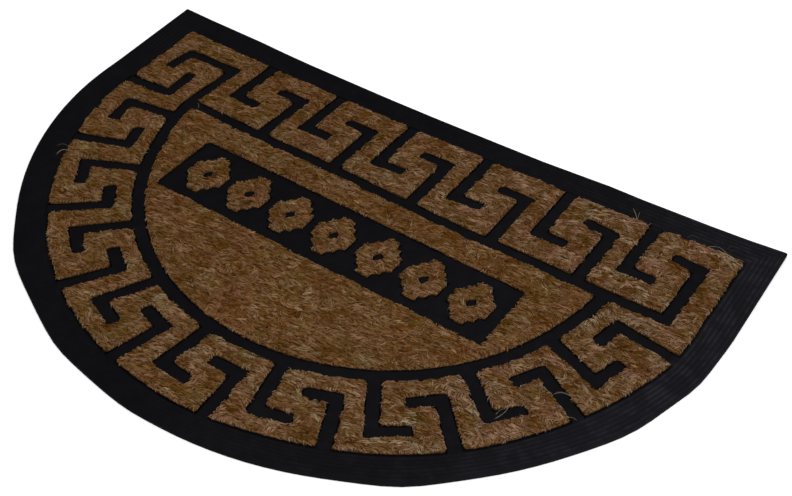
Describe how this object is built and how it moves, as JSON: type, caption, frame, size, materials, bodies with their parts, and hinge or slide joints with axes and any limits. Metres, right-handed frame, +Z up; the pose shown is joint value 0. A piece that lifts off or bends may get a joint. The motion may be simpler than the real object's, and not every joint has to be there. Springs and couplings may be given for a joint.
{
  "type": "half-round doormat",
  "caption": "Half-round rubber and coir doormat with a Greek key border, a coir field and a panel of stepped lozenges, lying flat on the floor.",
  "frame": {"origin": "centre of the underside, midway between the mat's extremes in X and Y, on the floor", "axes": "+X along the straight edge, +Y towards the straight edge, +Z up, out of the coir"},
  "size_m": [0.6098, 0.413, 0.008],
  "materials": {
    "rubber": "matt moulded rubber, near black with a faint blue cast",
    "coir": "coarse woven coir fibre, warm brown with straw and dark red-brown strands"
  },
  "bodies": {
    "root": {"rubber_mat": "rubber", "coir_key_band": "coir", "coir_field": "coir", "coir_motif_1": "coir", "coir_motif_2": "coir", "coir_motif_3": "coir", "coir_motif_4": "coir", "coir_motif_5": "coir", "coir_motif_6": "coir", "coir_motif_7": "coir"}
  },
  "joints": []
}
